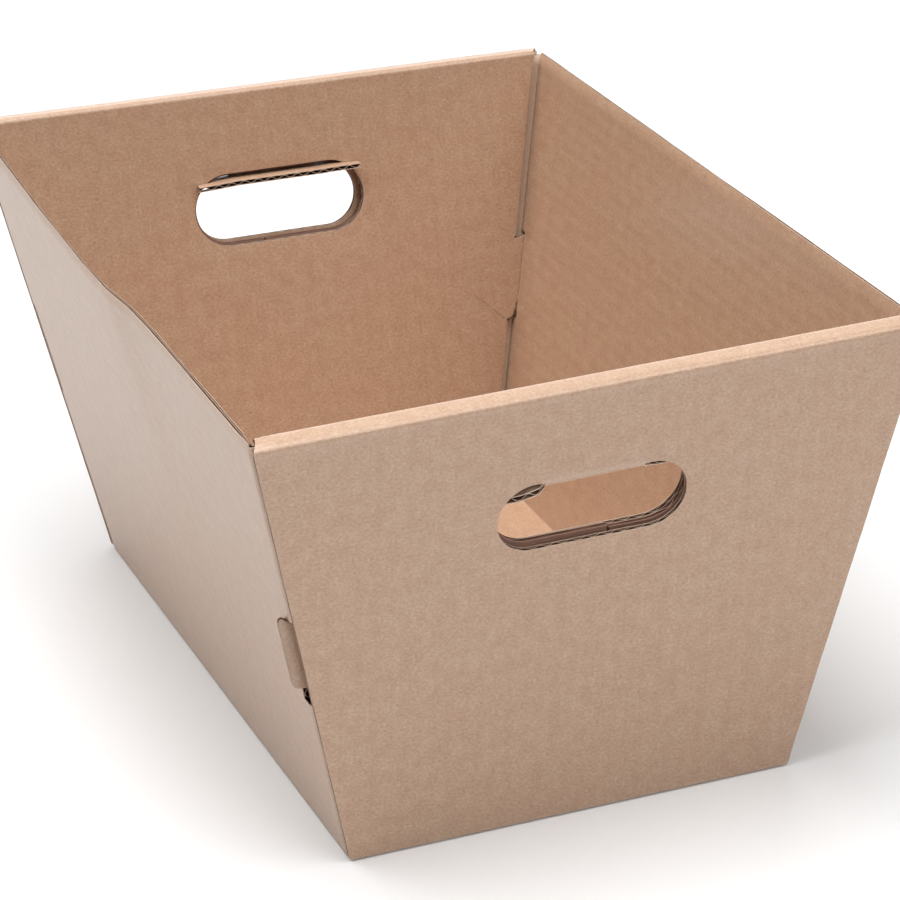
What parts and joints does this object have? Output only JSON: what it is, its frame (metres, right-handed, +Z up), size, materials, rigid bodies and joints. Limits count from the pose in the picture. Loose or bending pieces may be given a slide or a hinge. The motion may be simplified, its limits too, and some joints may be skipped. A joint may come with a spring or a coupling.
{
  "type": "cardboard tray box",
  "caption": "Open-topped flared carrying tray folded from corrugated board, with double ends, rolled rims and hand holes.",
  "frame": {"origin": "centre of the underside, on the surface that the tray stands on", "axes": "+Z up, +Y along the tray's length towards the back end, +X across it to the right"},
  "size_m": [0.2796, 0.3912, 0.2063],
  "materials": {
    "kraft_board": "matte"
  },
  "bodies": {
    "root": {"tray": "kraft_board"}
  },
  "joints": []
}
